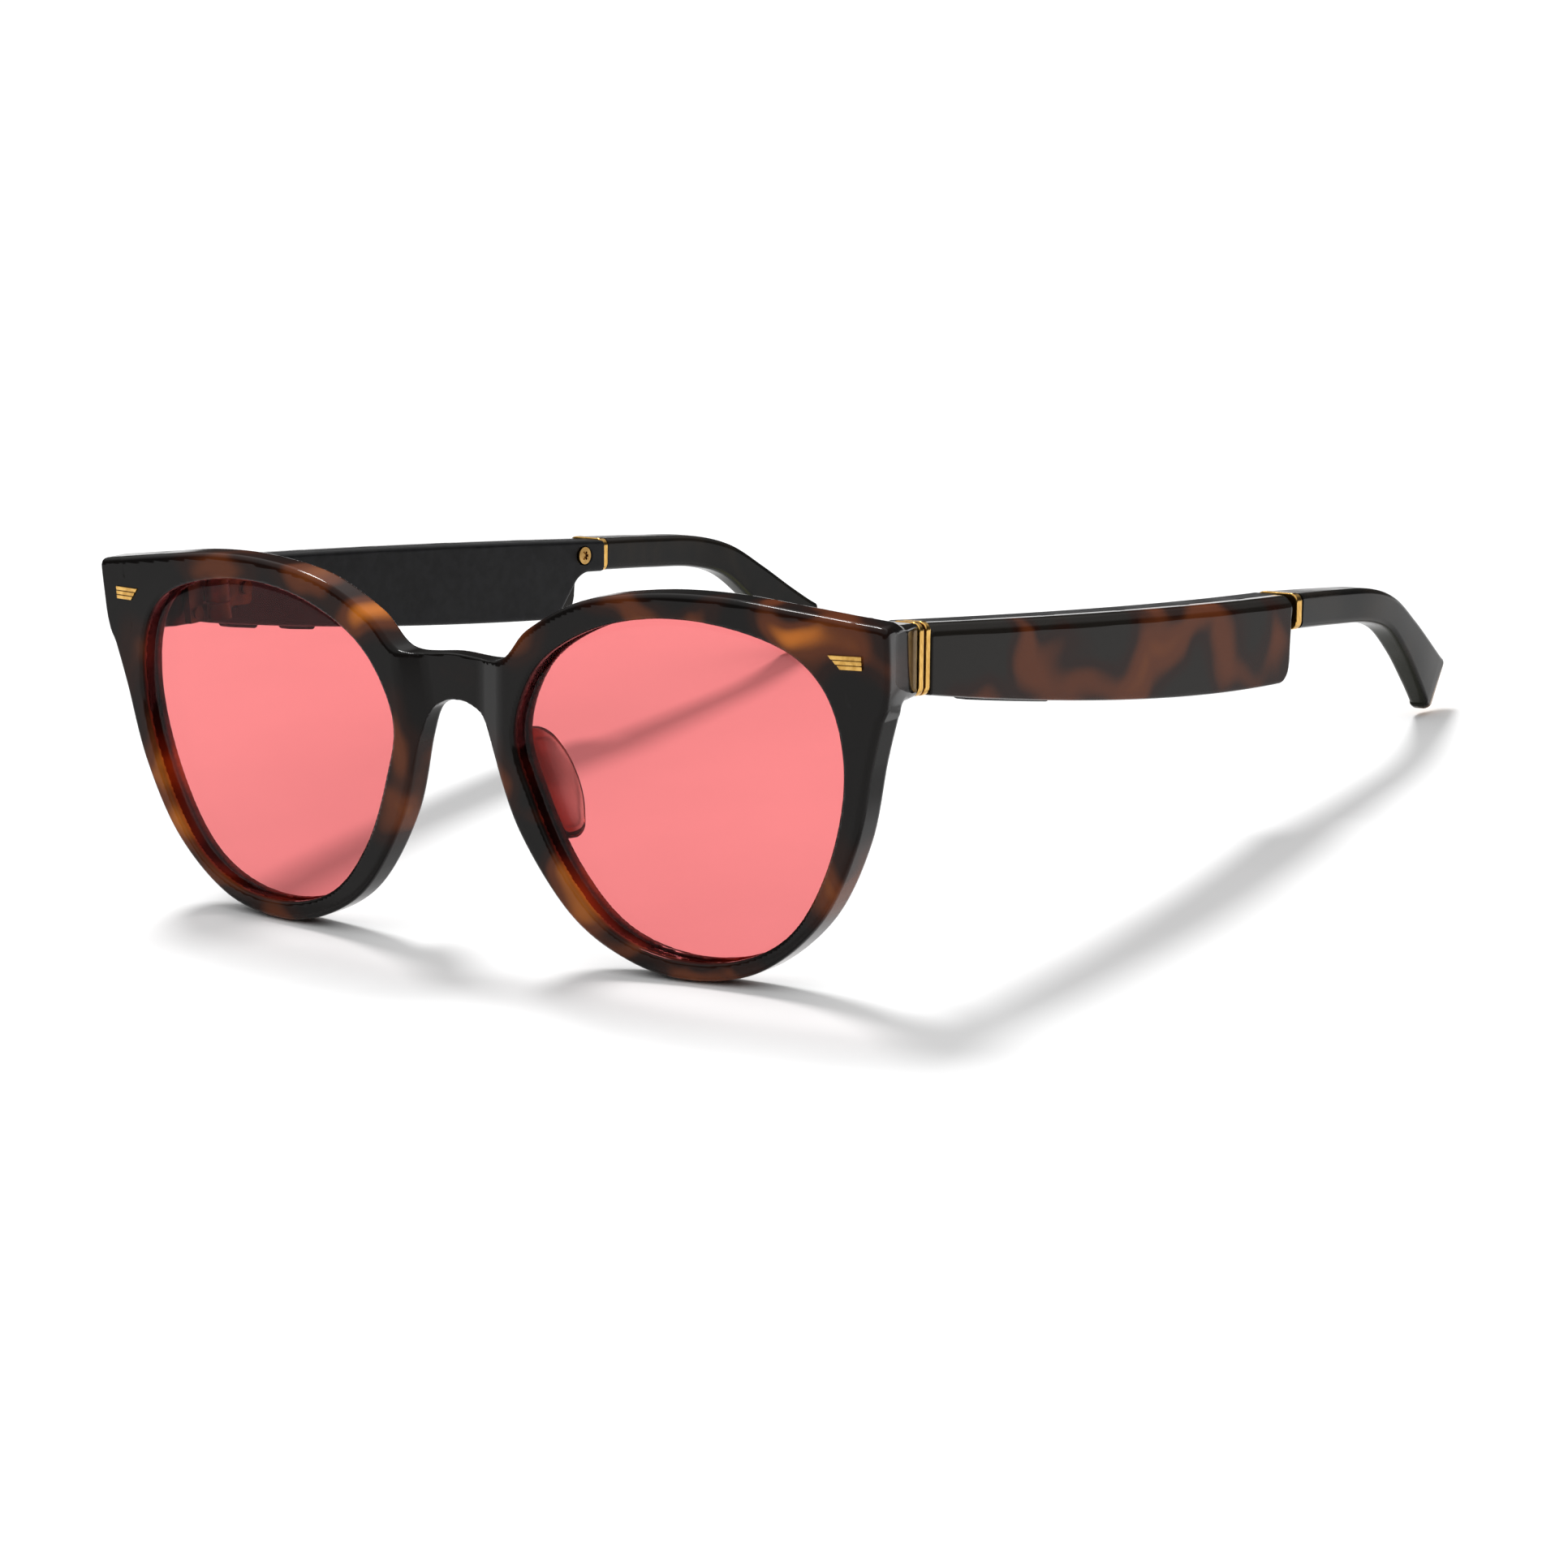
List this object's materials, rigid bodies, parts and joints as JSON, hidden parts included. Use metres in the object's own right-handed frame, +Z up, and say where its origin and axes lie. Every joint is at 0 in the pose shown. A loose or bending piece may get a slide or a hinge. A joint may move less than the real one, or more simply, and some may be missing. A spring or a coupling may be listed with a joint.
{
  "type": "smart glasses",
  "caption": "Round acetate smart glasses with tinted lenses, folding temples that hold the electronics, press buttons and charging contacts.",
  "frame": {"origin": "middle of the overall box at the surface that the open glasses stand on, resting on both rims and both temple tips", "axes": "+X towards the wearer's left, +Y back along the temples, +Z up; the temples fall about 10 degrees towards their tips"},
  "size_m": [0.1392, 0.1468, 0.0499],
  "materials": {
    "tortoiseshell_front": "polished",
    "coral_lens": "polished, tinted coral",
    "clear_pad": "polished, translucent",
    "gold_trim": "polished gold plate",
    "gold_hinge": "satin gold plate",
    "gold_screw": "polished gold plate",
    "tortoiseshell_temple": "polished",
    "black_housing": "satin black",
    "board": "solder mask",
    "battery_foil": "foil pouch",
    "speaker_case": "moulded",
    "steel_mesh": "woven",
    "microphone_can": "satin",
    "switch_case": "moulded",
    "black_button": "satin black",
    "contact_carrier": "satin black",
    "contact_gold": "polished gold plate",
    "light_guide": "milky",
    "core_wire": "drawn wire",
    "dark_tip": "polished, translucent"
  },
  "bodies": {
    "front": {"front_frame": "tortoiseshell_front", "lens_left": "coral_lens", "lens_right": "coral_lens", "nose_pad_left": "clear_pad", "nose_pad_right": "clear_pad", "plaque_left": "gold_trim", "plaque_right": "gold_trim", "front_ring_left": "gold_trim", "front_ring_right": "gold_trim", "front_hinge_leaf_left": "gold_hinge", "front_hinge_leaf_right": "gold_hinge", "front_leaf_rivets": "gold_screw", "hinge_screw_left": "gold_screw", "hinge_screw_right": "gold_screw"},
    "left_temple": {"temple_ring_left": "gold_trim", "temple_hinge_leaf_left": "gold_hinge", "temple_leaf_screws_left": "gold_screw", "outer_cover_left": "tortoiseshell_temple", "inner_housing_left": "black_housing", "circuit_board_left": "board", "battery_left": "battery_foil", "speaker_left": "speaker_case", "speaker_mesh_left": "steel_mesh", "microphone_left": "microphone_can", "volume_switches": "switch_case", "charging_plate": "contact_carrier", "charging_contacts": "contact_gold", "status_light": "light_guide", "tip_ring_left": "gold_trim", "tip_core_left": "core_wire", "tip_screw_left": "gold_screw", "tip_left": "dark_tip"},
    "right_temple": {"temple_ring_right": "gold_trim", "temple_hinge_leaf_right": "gold_hinge", "temple_leaf_screws_right": "gold_screw", "outer_cover_right": "tortoiseshell_temple", "inner_housing_right": "black_housing", "circuit_board_right": "board", "battery_right": "battery_foil", "speaker_right": "speaker_case", "speaker_mesh_right": "steel_mesh", "microphone_right": "microphone_can", "action_switches": "switch_case", "tip_ring_right": "gold_trim", "tip_core_right": "core_wire", "tip_screw_right": "gold_screw", "tip_right": "dark_tip"},
    "volume_rocker": {"volume_rocker": "black_button"},
    "action_button": {"action_button": "black_button"},
    "mute_button": {"mute_button": "black_button"}
  },
  "joints": [
    {"name": "left_fold", "type": "hinge", "parent": "front", "child": "left_temple", "pos_m": [0.0569, -0.05631, 0.04033], "axis": [0, 0.0617, 0.9981], "range_deg": [0, 90]},
    {"name": "right_fold", "type": "hinge", "parent": "front", "child": "right_temple", "pos_m": [-0.0569, -0.05631, 0.04033], "axis": [0, -0.0617, -0.9981], "range_deg": [0, 78]},
    {"name": "volume_rock", "type": "hinge", "parent": "left_temple", "child": "volume_rocker", "pos_m": [0.06378, -0.0385, 0.03115], "axis": [1, 0, 0], "range_deg": [-1.1, 1.1], "stiffness_Nm_per_rad": 0.15},
    {"name": "action_press", "type": "slide", "parent": "right_temple", "child": "action_button", "axis": [0, 0.1749, 0.9846], "range_m": [0, 0.0003], "stiffness_N_per_m": 1000, "springref_m": -0.0002},
    {"name": "mute_press", "type": "slide", "parent": "right_temple", "child": "mute_button", "axis": [0, 0.1749, 0.9846], "range_m": [0, 0.0003], "stiffness_N_per_m": 1000, "springref_m": -0.0002}
  ]
}
